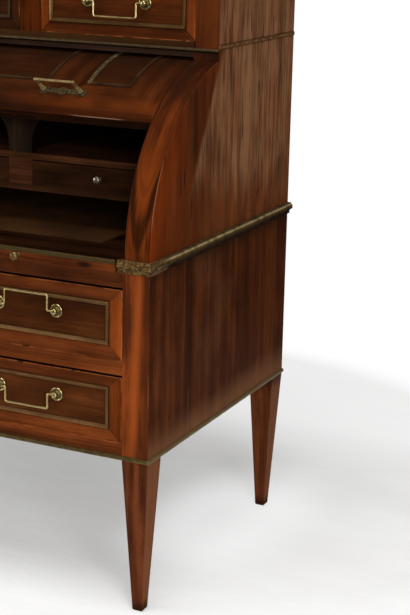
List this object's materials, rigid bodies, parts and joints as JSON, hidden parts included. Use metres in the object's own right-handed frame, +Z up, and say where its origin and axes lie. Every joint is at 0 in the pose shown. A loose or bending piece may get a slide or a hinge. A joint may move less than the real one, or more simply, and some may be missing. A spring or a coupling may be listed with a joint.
{
  "type": "cylinder desk",
  "caption": "Tall writing desk with a turning quarter-round cover over pigeonholes and a pull-out writing slide, long drawers below, a row of small drawers above, on tapered legs.",
  "frame": {"origin": "on the floor under the middle of the desk's bounding box", "axes": "+X to the right as seen by the sitter, +Y to the back, +Z up"},
  "size_m": [1.297, 0.701, 1.285],
  "materials": {
    "mahogany": "polished red-brown veneer with striped grain",
    "interior_wood": "satin dark wood",
    "secondary_wood": "plain unpolished wood",
    "aged_brass": "dulled greenish brass",
    "polished_brass": "rubbed yellow brass",
    "leather": "worn dark brown leather"
  },
  "bodies": {
    "case": {"leg_front_right": "mahogany", "leg_front_left": "mahogany", "leg_back_right": "mahogany", "leg_back_left": "mahogany", "side_panels": "mahogany", "front_rails": "mahogany", "waist_boards": "mahogany", "cheek_right": "mahogany", "cheek_left": "mahogany", "fascia": "mahogany", "tier_floor": "mahogany", "tier_ends": "mahogany", "tier_dividers": "mahogany", "top_board": "mahogany", "nest_boards": "interior_wood", "nest_back": "interior_wood", "nest_blocks": "interior_wood", "nest_arches": "interior_wood", "back_lower": "secondary_wood", "back_upper": "secondary_wood", "bottom_board": "secondary_wood", "dust_board": "secondary_wood", "drawer_guides": "secondary_wood", "slide_ledges": "secondary_wood", "tier_ceiling": "secondary_wood", "base_moulding": "aged_brass", "waist_moulding": "aged_brass", "tier_moulding": "aged_brass"},
    "slide": {"writing_slide": "mahogany", "slide_leather": "leather", "slide_strip": "aged_brass", "slide_knobs": "polished_brass"},
    "cylinder": {"cylinder_shell": "mahogany", "cylinder_frames": "aged_brass", "cylinder_handles": "polished_brass"},
    "long_drawer_upper": {"long_drawer_upper": "mahogany", "long_mounts_upper": "aged_brass"},
    "long_bail_upper_left": {"long_bail_upper_left": "polished_brass"},
    "long_bail_upper_right": {"long_bail_upper_right": "polished_brass"},
    "long_drawer_lower": {"long_drawer_lower": "mahogany", "long_mounts_lower": "aged_brass"},
    "long_bail_lower_left": {"long_bail_lower_left": "polished_brass"},
    "long_bail_lower_right": {"long_bail_lower_right": "polished_brass"},
    "top_drawer_left": {"top_drawer_left": "mahogany", "top_mounts_left": "aged_brass"},
    "top_bail_left": {"top_bail_left": "polished_brass"},
    "top_drawer_middle": {"top_drawer_middle": "mahogany", "top_mounts_middle": "aged_brass"},
    "top_bail_middle": {"top_bail_middle": "polished_brass"},
    "top_drawer_right": {"top_drawer_right": "mahogany", "top_mounts_right": "aged_brass"},
    "top_bail_right": {"top_bail_right": "polished_brass"},
    "nest_drawer_left": {"nest_drawer_left": "interior_wood", "nest_knob_left": "polished_brass"},
    "nest_drawer_middle": {"nest_drawer_middle": "interior_wood", "nest_knob_middle": "polished_brass"},
    "nest_drawer_right": {"nest_drawer_right": "interior_wood", "nest_knob_right": "polished_brass"}
  },
  "joints": [
    {"name": "slide_pull", "type": "slide", "parent": "case", "child": "slide", "axis": [0, -1, 0], "range_m": [0, 0.25]},
    {"name": "cylinder_turn", "type": "hinge", "parent": "case", "child": "cylinder", "pos_m": [0, 0.0335, 0.725], "axis": [-1, 0, 0], "range_deg": [-44.3, 16.5]},
    {"name": "long_drawer_upper_pull", "type": "slide", "parent": "case", "child": "long_drawer_upper", "axis": [0, -1, 0], "range_m": [0, 0.4]},
    {"name": "long_bail_upper_left_swing", "type": "hinge", "parent": "long_drawer_upper", "child": "long_bail_upper_left", "pos_m": [-0.368, -0.3355, 0.6085], "axis": [1, 0, 0], "range_deg": [0, 180]},
    {"name": "long_bail_upper_right_swing", "type": "hinge", "parent": "long_drawer_upper", "child": "long_bail_upper_right", "pos_m": [0.368, -0.3355, 0.6085], "axis": [1, 0, 0], "range_deg": [0, 180]},
    {"name": "long_drawer_lower_pull", "type": "slide", "parent": "case", "child": "long_drawer_lower", "axis": [0, -1, 0], "range_m": [0, 0.4]},
    {"name": "long_bail_lower_left_swing", "type": "hinge", "parent": "long_drawer_lower", "child": "long_bail_lower_left", "pos_m": [-0.368, -0.3355, 0.43775], "axis": [-1, 0, 0], "range_deg": [0, 180]},
    {"name": "long_bail_lower_right_swing", "type": "hinge", "parent": "long_drawer_lower", "child": "long_bail_lower_right", "pos_m": [0.368, -0.3355, 0.43775], "axis": [-1, 0, 0], "range_deg": [0, 180]},
    {"name": "top_drawer_left_pull", "type": "slide", "parent": "case", "child": "top_drawer_left", "axis": [0, -1, 0], "range_m": [0, 0.25]},
    {"name": "top_bail_left_swing", "type": "hinge", "parent": "top_drawer_left", "child": "top_bail_left", "pos_m": [-0.40667, -0.048, 1.182], "axis": [-1, 0, 0], "range_deg": [0, 180]},
    {"name": "top_drawer_middle_pull", "type": "slide", "parent": "case", "child": "top_drawer_middle", "axis": [0, -1, 0], "range_m": [0, 0.25]},
    {"name": "top_bail_middle_swing", "type": "hinge", "parent": "top_drawer_middle", "child": "top_bail_middle", "pos_m": [0, -0.048, 1.182], "axis": [-1, 0, 0], "range_deg": [0, 180]},
    {"name": "top_drawer_right_pull", "type": "slide", "parent": "case", "child": "top_drawer_right", "axis": [0, -1, 0], "range_m": [0, 0.25]},
    {"name": "top_bail_right_swing", "type": "hinge", "parent": "top_drawer_right", "child": "top_bail_right", "pos_m": [0.40667, -0.048, 1.182], "axis": [-1, 0, 0], "range_deg": [0, 180]},
    {"name": "nest_drawer_left_pull", "type": "slide", "parent": "case", "child": "nest_drawer_left", "axis": [0, -1, 0], "range_m": [0, 0.2]},
    {"name": "nest_drawer_middle_pull", "type": "slide", "parent": "case", "child": "nest_drawer_middle", "axis": [0, -1, 0], "range_m": [0, 0.2]},
    {"name": "nest_drawer_right_pull", "type": "slide", "parent": "case", "child": "nest_drawer_right", "axis": [0, -1, 0], "range_m": [0, 0.2]}
  ]
}
